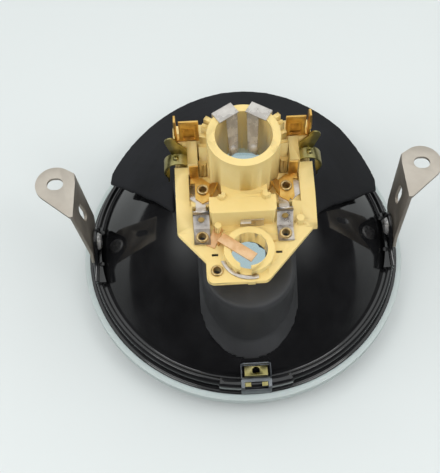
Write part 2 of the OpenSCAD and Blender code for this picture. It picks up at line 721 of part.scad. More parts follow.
module terminal() {
    // folded brass terminal: upright plate with a pressed pocket and a dimple, foot and spade
    z = shelf_z + 0.05;
    color([0.74, 0.5, 0.2]) {
        difference() {
            translate([terminal_x, 8.4, z]) cube([terminal_w, 1.8, terminal_h]);
            translate([terminal_x + 1.7, 8, z + 0.9]) cube([terminal_w - 3.2, 1.6, terminal_h - 5.2]);
            translate([terminal_x - 1, 8.4 + blade_t, z + terminal_h - 2]) cube([terminal_w + 2, 2, 3]);
        }
        translate([terminal_x + terminal_w / 2 + 0.1, 9.8, z + terminal_h - 5.6]) rotate([90, 0, 0])
            dome_button(0.9, 0.8);
        translate([terminal_x, 8.4, z]) cube([spade_x + blade_t - terminal_x, 3.1, blade_t]);
        translate([spade_x, spade_y, z]) rotate([90, 0, 90]) linear_extrude(height = blade_t)
            polygon([[2, 0], [2, 6], [0, 8], [0, spade_h - 2.4], [1.6, spade_h], [blade_w - 1.6, spade_h],
                [blade_w, spade_h - 2.4], [blade_w, 0]]);
    }
}

module terminal_right() terminal();
module terminal_left() mirror([1, 0, 0]) terminal();

band_t = 0.6;
band_w = 5.4;
band_y = 1.4;
band_r = 6;
band_x = 25.4;

module holder_clip() {
    // spring clip: a band that arches out of the side pocket and down over the plate's edge,
    // and an upright leaf with a round finger lug
    floor_z = plate_z + 0.05;
    centre_z = floor_z + 1.5;
    wall_x = plate_w - clip_pocket + 0.1;
    color([0.56, 0.54, 0.28]) {
        translate([0, band_y + band_w, 0]) rotate([90, 0, 0]) linear_extrude(height = band_w) {
            // arch
            intersection() {
                translate([band_x, centre_z]) difference() {
                    circle(r = band_r, $fn = 96);
                    circle(r = band_r - band_t, $fn = 96);
                }
                polygon([[wall_x, centre_z + 4], [wall_x, centre_z + 9], [band_x + 9, centre_z + 9],
                    [band_x + 9, centre_z - 3.7], [band_x, centre_z - 3.7], [band_x, centre_z + 4]]);
            }
            // leg in the pocket and tail over the edge
            translate([wall_x, floor_z]) square([band_t, 5.6]);
            translate([band_x + 4.1, centre_z - 6.4]) square([band_t, 2.8]);
        }
        translate([wall_x, band_y + band_w, floor_z]) rotate([90, 0, 0]) linear_extrude(height = band_t) {
            polygon([[0, 0], [3.4, 0], [6.4, 8.4], [8.2, 14.6], [4.4, 16], [0, 10.2]]);
            translate([6.1, 15.4]) circle(r = 2.3, $fn = 40);
        }
        translate([band_x + 1, band_y + band_w / 2, centre_z + band_r - band_t / 2]) dome_button(1.1, 1);
    }
}

module holder_clip_right() holder_clip();
module holder_clip_left() mirror([1, 0, 0]) holder_clip();

mid_z = pocket_z + leaf_t + 0.08;
wing_tilt = 58;
tab_up = 8.6;

module mid_plate(x, side, outline, wing) {
    // brass plate under its eyelet, with a steep wing at the collar and a tab up the side wall
    color([0.74, 0.5, 0.2]) translate([x, mid_y, mid_z]) difference() {
        union() {
            linear_extrude(height = leaf_t) polygon([for (p = outline) [side * p[0], p[1]]]);
            translate([side * 2.8, 0, 0]) rotate([0, -side * wing_tilt, 0]) linear_extrude(height = leaf_t)
                polygon([for (p = wing) [side * p[0], p[1]]]);
            translate([-side * 3.1 - 1.7, 3.2, 0]) cube([3.4, 2.9, leaf_t]);
            translate([-side * 3.1 - 1.7, 5.6, 0]) cube([3.4, leaf_t, tab_up]);
        }
        translate([0, 0, -1]) cylinder(r = eyelet_bore, h = 3, $fn = 48);
        translate([-10, -10, -5]) cube([20, 20, 5]);
        translate([-x, -mid_y, -1]) cylinder(r = collar_r + body_gap, h = 12, $fn = 96);
    }
}

module brass_contact_left()
    mid_plate(mid_left, 1, [[-0.4, 5.6], [-3, 4.4], [-3, -3.8], [-0.3, -6], [2.2, -4.8], [3.1, -3.6], [3.1, 2.6]],
        [[0, 2.4], [0, -3.4], [2.4, -3], [4.6, -1.4], [6.4, 0.2], [4.8, 0.8], [3, 1.8]]);

module brass_contact_right()
    mid_plate(mid_right, -1, [[-0.4, 5.6], [-3, 4.4], [-3, -4.6], [-1.9, -6.2], [-1.2, -5.6], [-0.5, -6.9],
        [0.6, -5.9], [1.6, -5.4], [3.1, -4.2], [3.1, 2.6]],
        [[0, 2.6], [0, -4], [2, -3.8], [5.4, -1.2], [8.4, 0.8], [5.6, 1.4], [2.6, 2.4]]);

strip_w = chan_w - 0.4;
strip_rise = 7;
strip_lean = 3.2;

module link_strip(x, mid_x, side) {
    // plated strip: foot under its eyelet, up with a hole, then down to a plate under the brass one
    z = chan_floor + 0.03;
    tilt = atan2(strip_lean, strip_rise);
    run = mid_y - 7.2 - strip_y - strip_lean - 4;
    drop = strip_rise - (pocket_z + 0.03 - z);
    color([0.76, 0.73, 0.7]) translate([x, strip_y, z]) difference() {
        union() {
            translate([-strip_w / 2, -3, 0]) cube([strip_w, 7, leaf_t]);
            translate([0, 4 - leaf_t, 0]) rotate([-tilt, 0, 0]) translate([-strip_w / 2, 0, 0])
                cube([strip_w, leaf_t, strip_rise / cos(tilt) + leaf_t]);
            translate([-strip_w / 2, 4 + strip_lean - leaf_t - 0.5, strip_rise]) cube([strip_w, 1.4, leaf_t]);
            translate([-1.9, 4 + strip_lean - leaf_t, strip_rise]) rotate([-atan2(drop, run), 0, 0])
                cube([3.8, norm([run, drop]) + 0.1, leaf_t]);
            translate([-1.9, mid_y - 7.5 - strip_y, pocket_z + 0.03 - z]) cube([3.8, 4, leaf_t]);
            translate([mid_x - x, mid_y - strip_y, pocket_z + 0.03 - z]) linear_extrude(height = leaf_t)
                polygon([for (p = [[-1.9, -5.8], [1.9, -5.8], [3, -4.6], [3, 2], [-1.6, 2.6], [-5.2, 2.6], [-5.2, -3.4]])
                    [side * p[0], p[1]]]);
        }
        translate([0, 0, -1]) cylinder(r = eyelet_bore, h = 3, $fn = 48);
        translate([mid_x - x, mid_y - strip_y, -1]) cylinder(r = eyelet_bore, h = 12, $fn = 48);
        translate([0, 7, strip_rise * 0.52]) rotate([90 - tilt, 0, 0]) cylinder(r = 1.3, h = 6, $fn = 32);
    }
}

module link_strip_left() link_strip(strip_left, mid_left, 1);
module link_strip_right() link_strip(strip_right, mid_right, -1);

module parking_contact() {
    // copper blade over the parking socket, on a foot beside the ring
    z = plate_z + park_ring_h + 0.05;
    color([0.8, 0.55, 0.42]) translate([-10.2, -30.4, z]) rotate([0, 0, -38]) {
        translate([0, -2.1, 0]) cube([15, 4.2, leaf_t]);
        translate([-leaf_t, -2.1, -park_ring_h]) cube([leaf_t + eps, 4.2, park_ring_h + leaf_t]);
    }
}

module parking_clamp() {
    // copper tab below its locating peg
    color([0.85, 0.6, 0.38]) translate([-11.3, -25.3, plate_z + 0.03]) difference() {
        rotate([0, 0, -115]) translate([-1.1, -1.9, 0]) cube([8.8, 3.6, leaf_t]);
        translate([0, 0, -1]) cylinder(r = 1.5, h = 4, $fn = 32);
        translate([-7, -1, -1]) cube([3.95, 6, 4]);
    }
}

module parking_spring() {
    // plated spring between the block and the parking ring
    color([0.78, 0.76, 0.73]) {
        translate([-2.6, block_y - 0.75, plate_z + 0.05]) cube([9, leaf_t, 4.6]);
        translate([-2.6, block_y - 2.2, plate_z + 4.2]) cube([4, 1.95, leaf_t]);
    }
}

module earth_strip() {
    // plated strip that follows the ring from the lower eyelet
    color([0.78, 0.74, 0.7]) translate([0, -park_off, plate_z + 0.03]) difference() {
        intersection() {
            difference() {
                cylinder(r = park_ring_r + 1.7, h = leaf_t, $fn = 96);
                translate([0, 0, -1]) cylinder(r = park_ring_r + 0.2, h = 3, $fn = 96);
            }
            translate([-12, -13, -1]) cube([15, 10, 3]);
        }
        translate([earth_eyelet[0], park_off + earth_eyelet[1], -1])
            cylinder(r = eyelet_r + 0.2, h = 3, $fn = 32);
    }
}

lens();
lens_seal();
reflector();
rubber_boot();
drip_flap();
side_bracket_left();
side_bracket_right();
bracket_rivets();
pivot_rivet_left();
pivot_rivet_right();
ear_left();
ear_right();
lower_bracket();
adjuster_clip();
adjuster_nut();
bulb_holder();
main_contact_left();
main_contact_right();
terminal_left();
terminal_right();
holder_clip_left();
holder_clip_right();
brass_contact_left();
brass_contact_right();
link_strip_left();
link_strip_right();
contact_eyelets();
parking_contact();
parking_clamp();
parking_spring();
earth_strip();
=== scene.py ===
import math
import bmesh
import bpy
from mathutils import Matrix, Vector


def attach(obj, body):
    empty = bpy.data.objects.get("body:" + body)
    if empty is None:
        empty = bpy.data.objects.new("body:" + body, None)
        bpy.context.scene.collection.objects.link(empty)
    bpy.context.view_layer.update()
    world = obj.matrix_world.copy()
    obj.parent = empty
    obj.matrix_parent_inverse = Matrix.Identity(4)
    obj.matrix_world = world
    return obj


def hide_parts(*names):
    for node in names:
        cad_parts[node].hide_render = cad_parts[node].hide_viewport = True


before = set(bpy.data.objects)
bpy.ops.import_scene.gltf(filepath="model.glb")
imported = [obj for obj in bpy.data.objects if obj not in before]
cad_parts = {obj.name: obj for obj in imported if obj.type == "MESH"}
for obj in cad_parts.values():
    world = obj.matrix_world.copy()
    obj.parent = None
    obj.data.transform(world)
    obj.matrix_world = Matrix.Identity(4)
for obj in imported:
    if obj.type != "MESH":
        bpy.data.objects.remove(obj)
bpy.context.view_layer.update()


# The camera looks down on the lamp's back, from the side of its parking light.
# Its place was fitted to the photograph's rim, ears and holder.
MM = 0.001
camera_elevation = math.radians(61.14)
camera_azimuth = math.radians(-1.0)
camera_roll = math.radians(-2.16)
camera_place = Vector((-13.52, -188.60, 368.35)) * MM
back = Vector((math.sin(camera_azimuth) * math.cos(camera_elevation),
               -math.cos(camera_azimuth) * math.cos(camera_elevation), math.sin(camera_elevation)))
level = Vector((math.cos(camera_azimuth), math.sin(camera_azimuth), 0))
upright = back.cross(level)
right = math.cos(camera_roll) * level + math.sin(camera_roll) * upright
upward = math.cos(camera_roll) * upright - math.sin(camera_roll) * level
camera_data = bpy.data.cameras.new("camera")
camera_data.lens = 66.2
camera_data.sensor_width = 36
camera_data.clip_start = 0.01
camera = bpy.data.objects.new("camera", camera_data)
camera.matrix_world = Matrix.Translation(camera_place) @ Matrix(
    (right, upward, back)).transposed().to_4x4()
bpy.context.scene.collection.objects.link(camera)
bpy.context.scene.camera = camera
bpy.context.scene.view_settings.view_transform = "Standard"


# The backdrop is a pale mint-grey sheet that the lamp lies on, and takes its soft shadow.
# Seen in the enamel it is dark in front and bright behind. Seen through the glass it is
# an even blue-grey, as in the photograph's sockets.
def put_in_scene(name, mesh):
    piece = bpy.data.objects.new(name, mesh)
    bpy.context.scene.collection.objects.link(piece)
    return piece


def node_maker(tree):
    def add(kind, values=None, links=None, **settings):
        node = tree.nodes.new(kind)
        for key, value in settings.items():
            setattr(node, key, value)
        for key, value in (values or {}).items():
            node.inputs[key].default_value = value
        for key, socket in (links or {}).items():
            tree.links.new(socket, node.inputs[key])
        return node
    return add


floor_material = bpy.data.materials.new("backdrop_sheet")
floor_material.use_nodes = True
floor_tree = floor_material.node_tree
floor_add = node_maker(floor_tree)
floor_shader = floor_tree.nodes["Principled BSDF"]
floor_place = floor_add("ShaderNodeTexCoord")
floor_noise = floor_add("ShaderNodeTexNoise", {"Scale": 6.0, "Detail": 3.0},
                        {"Vector": floor_place.outputs["Object"]})
floor_tint = floor_add("ShaderNodeMix", {6: (0.74, 0.77, 0.765, 1), 7: (0.71, 0.745, 0.74, 1)},
                       {0: floor_noise.outputs["Fac"]}, data_type="RGBA")
floor_tree.links.new(floor_tint.outputs[2], floor_shader.inputs["Base Color"])
floor_rays = floor_add("ShaderNodeLightPath")
floor_glow = floor_add("ShaderNodeEmission", {"Color": (0.47, 0.56, 0.6, 1), "Strength": 1.0})
floor_parts = floor_add("ShaderNodeSeparateXYZ", None, {"Vector": floor_place.outputs["Object"]})
floor_far = floor_add("ShaderNodeMapRange", {"From Min": -0.2, "From Max": 0.3, "To Min": 0.08,
                                             "To Max": 0.9}, {"Value": floor_parts.outputs["Y"]})
floor_mirror = floor_add("ShaderNodeEmission", None, {"Color": floor_tint.outputs[2],
                                                      "Strength": floor_far.outputs["Result"]})
floor_seen = floor_add("ShaderNodeMixShader", None, {
    0: floor_rays.outputs["Is Glossy Ray"], 1: floor_shader.outputs[0], 2: floor_mirror.outputs[0]})
floor_blend = floor_add("ShaderNodeMixShader", None, {
    0: floor_rays.outputs["Is Transmission Ray"], 1: floor_seen.outputs[0], 2: floor_glow.outputs[0]})
floor_tree.links.new(floor_blend.outputs[0], floor_tree.nodes["Material Output"].inputs["Surface"])
floor_shader.inputs["Roughness"].default_value = 0.9
floor_shader.inputs["Specular IOR Level"].default_value = 0.1
floor_mesh = bpy.data.meshes.new("backdrop")
floor_half = 1.1
floor_level = -0.0002
floor_mesh.from_pydata([(x * floor_half, y * floor_half, floor_level)
                        for x, y in ((-1, -1), (1, -1), (1, 1), (-1, 1))], [], [(0, 1, 2, 3)])
floor_mesh.materials.append(floor_material)
backdrop = put_in_scene("backdrop", floor_mesh)


# The studio is bright behind the lamp and dark on the camera's side, so that the
# enamel stays black. Three soft boxes light the lamp without showing in it, and two
# small strips show as highlights on the rim.
world = bpy.data.worlds.new("studio")
world.use_nodes = True
world_add = node_maker(world.node_tree)
world_direction = world_add("ShaderNodeTexCoord")
world_parts = world_add("ShaderNodeSeparateXYZ", None, {"Vector": world_direction.outputs["Generated"]})
world_depth = world_add("ShaderNodeMapRange", {"From Min": -0.62, "From Max": 0.12},
                        {"Value": world_parts.outputs["Y"]}, interpolation_type="SMOOTHSTEP")
world_height = world_add("ShaderNodeMapRange", {"From Min": 0.3, "From Max": 0.62},
                         {"Value": world_parts.outputs["Z"]}, interpolation_type="SMOOTHSTEP")
world_upper = world_add("ShaderNodeMath", None, {
    0: world_depth.outputs["Result"], 1: world_height.outputs["Result"]}, operation="MULTIPLY")
world_rays = world_add("ShaderNodeLightPath")
world_share = world_add("ShaderNodeMix", None, {0: world_rays.outputs["Is Glossy Ray"],
                                                2: world_depth.outputs["Result"],
                                                3: world_upper.outputs[0]})
world_light = world_add("ShaderNodeMix", {6: (0.034, 0.034, 0.036, 1), 7: (0.93, 0.96, 0.96, 1)},
                        {0: world_share.outputs[0]}, data_type="RGBA")
world_seen = world_add("ShaderNodeMix", {7: (0.77, 0.805, 0.8, 1)}, {
    0: world_rays.outputs["Is Camera Ray"], 6: world_light.outputs[2]}, data_type="RGBA")
world.node_tree.links.new(world_seen.outputs[2], world.node_tree.nodes["Background"].inputs["Color"])
bpy.context.scene.world = world


def soft_box(name, place, aim, size, power, mirrored=False):
    data = bpy.data.lights.new(name, "AREA")
    data.shape = "RECTANGLE"
    data.size, data.size_y = size
    data.energy = power
    lamp = bpy.data.objects.new(name, data)
    lamp.location = place
    lamp.rotation_euler = (Vector(aim) - Vector(place)).to_track_quat("-Z", "Y").to_euler()
    lamp.visible_glossy = mirrored
    bpy.context.scene.collection.objects.link(lamp)


soft_box("left_box", (-0.85, -0.2, 0.85), (0, 0, 0.04), (0.8, 0.8), 3.2)
soft_box("right_box", (0.85, -0.2, 0.85), (0, 0, 0.04), (0.8, 0.8), 2.9)
soft_box("front_box", (0.0, -0.75, 0.95), (0, 0, 0.06), (0.6, 0.4), 3.0)
for side in (-1, 1):
    soft_box("rim_strip", (side * 0.47, -0.35, 1.02), (0, 0, 0.04), (0.4, 0.16), 0.9, mirrored=True)


# The glass is a moulded lens with a straight ground edge, lying face down.
# It is clear with a faint green tint, and its inner face carries upright flutes.
def new_material(name):
    material = bpy.data.materials.new(name)
    material.use_nodes = True
    return material, material.node_tree.nodes["Principled BSDF"], node_maker(material.node_tree)


glass_material, glass_shader, glass_add = new_material("moulded_glass")
glass_links = glass_material.node_tree.links
glass_place = glass_add("ShaderNodeTexCoord")
glass_noise = glass_add("ShaderNodeTexNoise", {"Scale": 90.0, "Detail": 3.0},
                        {"Vector": glass_place.outputs["Object"]})
glass_bump = glass_add("ShaderNodeBump", {"Strength": 0.08, "Distance": 0.0002},
                       {"Height": glass_noise.outputs["Fac"]})
glass_links.new(glass_bump.outputs["Normal"], glass_shader.inputs["Normal"])
glass_shader.inputs["Base Color"].default_value = (0.86, 0.95, 0.93, 1)
glass_shader.inputs["Roughness"].default_value = 0.04
glass_shader.inputs["IOR"].default_value = 1.5
glass_shader.inputs["Transmission Weight"].default_value = 1.0


def smooth_by_angle(mesh, degrees):
    mesh.polygons.foreach_set("use_smooth", [True] * len(mesh.polygons))
    mesh.set_sharp_from_angle(angle=math.radians(degrees))
    mesh.update()


def cad_copy(node):
    shell = bmesh.new()
    shell.from_mesh(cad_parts[node].data)
    bmesh.ops.remove_doubles(shell, verts=shell.verts, dist=1e-6)
    return shell


def finished(piece):
    """The piece's modifiers made into one plain mesh."""
    depsgraph = bpy.context.evaluated_depsgraph_get()
    mesh = bpy.data.meshes.new_from_object(piece.evaluated_get(depsgraph))
    piece.modifiers.clear()
    piece.data = mesh


def edged_piece(node, body, material, edge, steps=2, degrees=32, cut=None):
    """A copy of a CAD node whose sharp edges get a small round, after a cut where one is given."""
    shell = cad_copy(node)
    bmesh.ops.dissolve_limit(shell, angle_limit=math.radians(0.6), verts=shell.verts, edges=shell.edges)
    mesh = bpy.data.meshes.new(node + "_finished")
    shell.to_mesh(mesh)
    shell.free()
    mesh.materials.clear()
    mesh.materials.append(material)
    piece = put_in_scene(node + "_finished", mesh)
    if cut:
        cut(piece)
    rounding = piece.modifiers.new("edge", "BEVEL")
    rounding.width = edge
    rounding.segments = steps
    rounding.limit_method = "ANGLE"
    rounding.angle_limit = math.radians(degrees)
    rounding.use_clamp_overlap = True
    finished(piece)
    smooth_by_angle(piece.data, 40)
    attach(piece, body)
    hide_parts(node)


# The ground rim and the face outside the black rim are frosted and slightly green. Their pale colour is
# also painted light, standing in for the bright backdrop seen through the glass.
# Measures of the glass are in millimetres, like the outlines that are turned below.
frosted_and_painted_light_material, frosted_and_painted_light_shader, ground_add = new_material("ground_glass_edge_and_painted_light")
ground_place = ground_add("ShaderNodeTexCoord")
ground_grain = ground_add("ShaderNodeTexNoise", {"Scale": 900.0, "Detail": 4.0},
                          {"Vector": ground_place.outputs["Object"]})
ground_patch = ground_add("ShaderNodeTexNoise", {"Scale": 40.0, "Detail": 3.0},
                          {"Vector": ground_place.outputs["Object"]})
# painted light: this pale tint stands in for backdrop light coming through the glass edge, on top of
# its real frosting
frosted_and_painted_light_tint = ground_add("ShaderNodeMix", {6: (0.57, 0.65, 0.635, 1), 7: (0.7, 0.765, 0.75, 1)},
                         {0: ground_patch.outputs["Fac"]}, data_type="RGBA")
ground_bump = ground_add("ShaderNodeBump", {"Strength": 0.4, "Distance": 0.00004},
                         {"Height": ground_grain.outputs["Fac"]})
frosted_and_painted_light_material.node_tree.links.new(frosted_and_painted_light_tint.outputs[2], frosted_and_painted_light_shader.inputs["Base Color"])
frosted_and_painted_light_material.node_tree.links.new(ground_bump.outputs["Normal"], frosted_and_painted_light_shader.inputs["Normal"])
frosted_and_painted_light_shader.inputs["Roughness"].default_value = 0.3
frosted_and_painted_light_shader.inputs["Transmission Weight"].default_value = 0.2
frosted_and_painted_light_shader.inputs["IOR"].default_value = 1.5
glass_radius = 72.7
glass_thick = 3.2
glass_base = 9.8
glass_top = 13.2
glass_sides = 288
flute_pitch = 8
flute_height = 0.9
clear_radius = 17
front_radius = (glass_radius ** 2 + glass_base ** 2) / (2 * glass_base)


def front_height(radius, inset):
    """Height of the glass's front sphere, or of the one inside it."""
    return front_radius - math.sqrt((front_radius - inset) ** 2 - radius ** 2)


def turned_mesh(name, outline, steps, materials, second_from=None):
    """A closed outline (radius, height) in millimetres, turned about the lamp's axis.
    Its sides from second_from on take the second material."""
    mesh = bpy.data.meshes.new(name)
    shell = bmesh.new()
    poles = {k: shell.verts.new((0, 0, z * MM)) for k, (r, z) in enumerate(outline) if r == 0}
    rings = []
    for i in range(steps):
        turn = 2 * math.pi * i / steps
        rings.append([poles[k] if k in poles else
                      shell.verts.new((r * math.cos(turn) * MM, r * math.sin(turn) * MM, z * MM))
                      for k, (r, z) in enumerate(outline)])
    for i in range(steps):
        near, far = rings[i], rings[(i + 1) % steps]
        for k in range(len(outline)):
            n = (k + 1) % len(outline)
            corners = list(dict.fromkeys((near[k], far[k], far[n], near[n])))
            if len(corners) > 2:
                face = shell.faces.new(corners)
                face.material_index = int(second_from is not None and k >= second_from)
    bmesh.ops.recalc_face_normals(shell, faces=shell.faces)
    shell.to_mesh(mesh)
    shell.free()
    for material in materials:
        mesh.materials.append(material)
    return mesh


front_steps = 30
inner_wall = glass_radius - glass_thick
front_line = [(glass_radius * i / front_steps, front_height(glass_radius * i / front_steps, 0))
              for i in range(front_steps + 1)]
back_line = [(inner_wall * i / front_steps, front_height(inner_wall * i / front_steps, glass_thick))
             for i in range(front_steps, -1, -1)]
ground_line = [(glass_radius, glass_top - 0.5), (glass_radius - 0.15, glass_top - 0.15),
               (glass_radius - 0.5, glass_top), (inner_wall + 0.3, glass_top)]
lens_outline = back_line + front_line + ground_line
lens_mesh = turned_mesh("fluted_lens", lens_outline, glass_sides, [glass_material, frosted_and_painted_light_material],
                        len(back_line + front_line) - 2)
inside = lens_mesh.attributes.new("inside", "FLOAT", "POINT")
for vertex in lens_mesh.vertices:
    reach = math.hypot(vertex.co.x, vertex.co.y) / MM
    depth = vertex.co.z / MM - front_height(min(reach, glass_radius), 0)
    inside.data[vertex.index].value = float(depth > glass_thick / 2 and reach < inner_wall - 1)


def node_group(name, *inputs):
    """A Geometry Nodes group with a geometry socket each way and the named inputs."""
    group = bpy.data.node_groups.new(name, "GeometryNodeTree")
    sockets = {}
    group.interface.new_socket("Geometry", in_out="INPUT", socket_type="NodeSocketGeometry")
    for label, kind in inputs:
        sockets[label] = group.interface.new_socket(label, in_out="INPUT", socket_type=kind).identifier
    group.interface.new_socket("Geometry", in_out="OUTPUT", socket_type="NodeSocketGeometry")
    return group, group.nodes.new("NodeGroupInput"), group.nodes.new("NodeGroupOutput"), sockets


def grown(piece, group, sockets, values):
    """The piece with a Geometry Nodes group applied to it, as one plain mesh."""
    maker = piece.modifiers.new(group.name, "NODES")
    maker.node_group = group
    for label, value in values.items():
        maker[sockets[label]] = value
    finished(piece)


flute_group, flute_in, flute_out, flute_sockets = node_group(
    "upright_flutes", ("Pitch", "NodeSocketFloat"), ("Height", "NodeSocketFloat"),
    ("Clear radius", "NodeSocketFloat"), ("Glass", "NodeSocketMaterial"))
flute_add = node_maker(flute_group)
flute_place = flute_add("GeometryNodeInputPosition")
flute_parts = flute_add("ShaderNodeSeparateXYZ", None, {0: flute_place.outputs[0]})
flute_flat = flute_add("ShaderNodeCombineXYZ", None, {
    0: flute_parts.outputs[0], 1: flute_parts.outputs[1]})
flute_reach = flute_add("ShaderNodeVectorMath", None, {0: flute_flat.outputs[0]}, operation="LENGTH")


def flute_maths(operation, *sockets):
    return flute_add("ShaderNodeMath", None, dict(enumerate(sockets)), operation=operation).outputs[0]


flute_outside = flute_maths("GREATER_THAN", flute_reach.outputs["Value"],
                            flute_in.outputs["Clear radius"])
flute_turn = flute_maths("DIVIDE", flute_parts.outputs[0], flute_in.outputs["Pitch"])
flute_angle = flute_add("ShaderNodeMath", {1: math.pi}, {0: flute_turn}, operation="MULTIPLY")
flute_round = flute_maths("ABSOLUTE", flute_maths("COSINE", flute_angle.outputs[0]))
flute_rise = flute_maths("MULTIPLY", flute_round, flute_in.outputs["Height"])
flute_inside = flute_add("GeometryNodeInputNamedAttribute", {"Name": "inside"}, data_type="FLOAT")
flute_lift = flute_maths("MULTIPLY", flute_maths("MULTIPLY", flute_rise, flute_outside),
                         flute_inside.outputs[0])
flute_offset = flute_add("ShaderNodeCombineXYZ", None, {2: flute_lift})
flute_set = flute_add("GeometryNodeSetPosition", None, {0: flute_in.outputs[0],
                                                        "Offset": flute_offset.outputs[0]})
flute_realized = flute_add("GeometryNodeRealizeInstances", None, {0: flute_set.outputs[0]})
flute_front = flute_add("GeometryNodeInputMaterialIndex")
flute_clear = flute_add("FunctionNodeCompare", {3: 0}, {2: flute_front.outputs[0]}, data_type="INT",
                        operation="EQUAL")
flute_paint = flute_add("GeometryNodeSetMaterial", None, {
    0: flute_realized.outputs[0], 1: flute_clear.outputs[0], 2: flute_in.outputs["Glass"]})
flute_group.links.new(flute_paint.outputs[0], flute_out.inputs[0])
lens_piece = put_in_scene("fluted_lens", lens_mesh)
grown(lens_piece, flute_group, flute_sockets, {
    "Pitch": flute_pitch * MM, "Height": flute_height * MM, "Clear radius": clear_radius * MM,
    "Glass": glass_material})
smooth_by_angle(lens_piece.data, 35)
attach(lens_piece, "lamp")
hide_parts("lens")


# The seal is a thin black rubber ring pressed between glass and rim.
# It is hidden, so it only gets a dull rubber finish.
def mottled(name, dark, light, patch_scale, roughness, bump_scale, bump_depth, metallic=0.0,
            spread=(0.35, 0.65)):
    """A finish with patches between two colours, uneven gloss and a fine grain."""
    material, shader, add = new_material(name)
    links = material.node_tree.links
    place = add("ShaderNodeTexCoord")
    patches = add("ShaderNodeTexNoise", {"Scale": patch_scale, "Detail": 5.0, "Roughness": 0.6},
                  {"Vector": place.outputs["Object"]})
    patch_share = add("ShaderNodeMapRange", {"From Min": spread[0], "From Max": spread[1]},
                    {"Value": patches.outputs["Fac"]})
    tint = add("ShaderNodeMix", {6: (*dark, 1), 7: (*light, 1)}, {0: patch_share.outputs["Result"]},
               data_type="RGBA")
    links.new(tint.outputs[2], shader.inputs["Base Color"])
    gloss = add("ShaderNodeMapRange", {"From Min": 0.3, "From Max": 0.7, "To Min": roughness[0],
                                       "To Max": roughness[1]}, {"Value": patches.outputs["Fac"]})
    links.new(gloss.outputs["Result"], shader.inputs["Roughness"])
    grain = add("ShaderNodeTexNoise", {"Scale": bump_scale, "Detail": 4.0},
                {"Vector": place.outputs["Object"]})
    bump = add("ShaderNodeBump", {"Strength": 0.5, "Distance": bump_depth},
               {"Height": grain.outputs["Fac"]})
    links.new(bump.outputs["Normal"], shader.inputs["Normal"])
    shader.inputs["Metallic"].default_value = metallic
    return material


seal_rubber = mottled("seal_rubber", (0.012, 0.012, 0.014), (0.03, 0.03, 0.033), 120.0, (0.5, 0.7),
                      1500.0, 0.00004)
edged_piece("lens_seal", "lamp", seal_rubber, 0.1 * MM, 1)


# The reflector is spun from thin steel sheet and enamelled gloss black.
# One profile makes the bowl, its drawn neck and the rolled rim that holds the glass.
enamel = mottled("black_enamel", (0.006, 0.006, 0.0065), (0.012, 0.012, 0.013), 60.0, (0.07, 0.16),
                 700.0, 0.000012)
enamel_shader = enamel.node_tree.nodes["Principled BSDF"]
enamel_shader.inputs["Coat Weight"].default_value = 0.6
enamel_shader.inputs["Coat Roughness"].default_value = 0.06
sheet = 0.9
sheet_drop = 1.17
focal = 24.0
shoulder_rise = 6.3
neck_rise = 6.0
neck_radius = 24.0
bowl_radius = 64.0
rim_radius = 70.3
wall_radius = rim_radius - 1.9
crest_radius = bowl_radius + 2.8
rim_level = 14.0
shoulder_level = rim_level + shoulder_rise
apex_level = shoulder_level + bowl_radius ** 2 / (4 * focal)
neck_level = apex_level + neck_rise


def bowl_height(radius):
    return apex_level - radius ** 2 / (4 * focal)


bowl_steps = 40
bowl_sides = 256
bowl_radii = [neck_radius + (bowl_radius - neck_radius) * i / bowl_steps for i in range(bowl_steps + 1)]
outer_line = [(r, bowl_height(r)) for r in bowl_radii]
inner_line = [(r - (sheet if r < neck_radius + 1 else 0), z - sheet_drop)
              for r, z in reversed(outer_line)]
neck_line = [(neck_radius - sheet, neck_level - 0.3), (neck_radius - sheet + 0.3, neck_level),
             (neck_radius + 1.7, neck_level), (neck_radius + 2, neck_level - 0.3),
             (neck_radius + 2, neck_level - 0.7), (neck_radius + 1.8, neck_level - sheet),
             (neck_radius + 0.5, neck_level - sheet), (neck_radius, neck_level - sheet - 0.5)]
valley_radius = 1.6
valley_centre = (bowl_radius + 1.25, shoulder_level + 1)
rim_line = [(valley_centre[0] - valley_radius * math.sin(math.radians(a)),
             valley_centre[1] - valley_radius * math.cos(math.radians(a))) for a in range(48, -1, -6)]
rim_line += [(bowl_radius + 1.6, shoulder_level - 0.5), (bowl_radius + 1.9, shoulder_level - 0.15),
             (bowl_radius + 2.15, shoulder_level + 0.25),
            (crest_radius - 0.5, shoulder_level + 0.48), (crest_radius, shoulder_level + 0.5),
            (crest_radius + 0.5, shoulder_level + 0.3), (crest_radius + 0.95, shoulder_level - 0.1),
            (wall_radius - 0.3, shoulder_level - 0.7), (wall_radius - 0.08, shoulder_level - 1.3),
            (wall_radius, shoulder_level - 2), (wall_radius, rim_level + sheet + 1.1),
            (wall_radius + 0.14, rim_level + sheet + 0.6), (wall_radius + 0.5, rim_level + sheet + 0.2),
            (wall_radius + 1, rim_level + sheet), (rim_radius - 0.3, rim_level + sheet),
            (rim_radius, rim_level + sheet - 0.3), (rim_radius, rim_level + 0.2),
            (rim_radius - 0.2, rim_level), (wall_radius - sheet, rim_level)]
rim_back_line = [(wall_radius - sheet, shoulder_level - 2.1),
                 (wall_radius - sheet - 0.4, shoulder_level - sheet - 0.6),
                 (crest_radius - 0.4, shoulder_level - sheet + 0.1),
                 (bowl_radius + 1.4, shoulder_level - sheet - 0.6)]


silvering = mottled("silvered_face", (0.78, 0.8, 0.8), (0.86, 0.87, 0.87), 40.0, (0.05, 0.1),
                    600.0, 0.00001, metallic=1.0)
painted_line = neck_line + outer_line + rim_line
reflector_mesh = turned_mesh("reflector_shell", painted_line + rim_back_line + inner_line, bowl_sides,
                             [enamel, silvering], len(painted_line))
reflector_shell = put_in_scene("reflector_shell", reflector_mesh)
park_offset = 35.5
park_hole = 8.5
notch_place = (0, -neck_radius - 1)
notch_radius = park_hole - 1


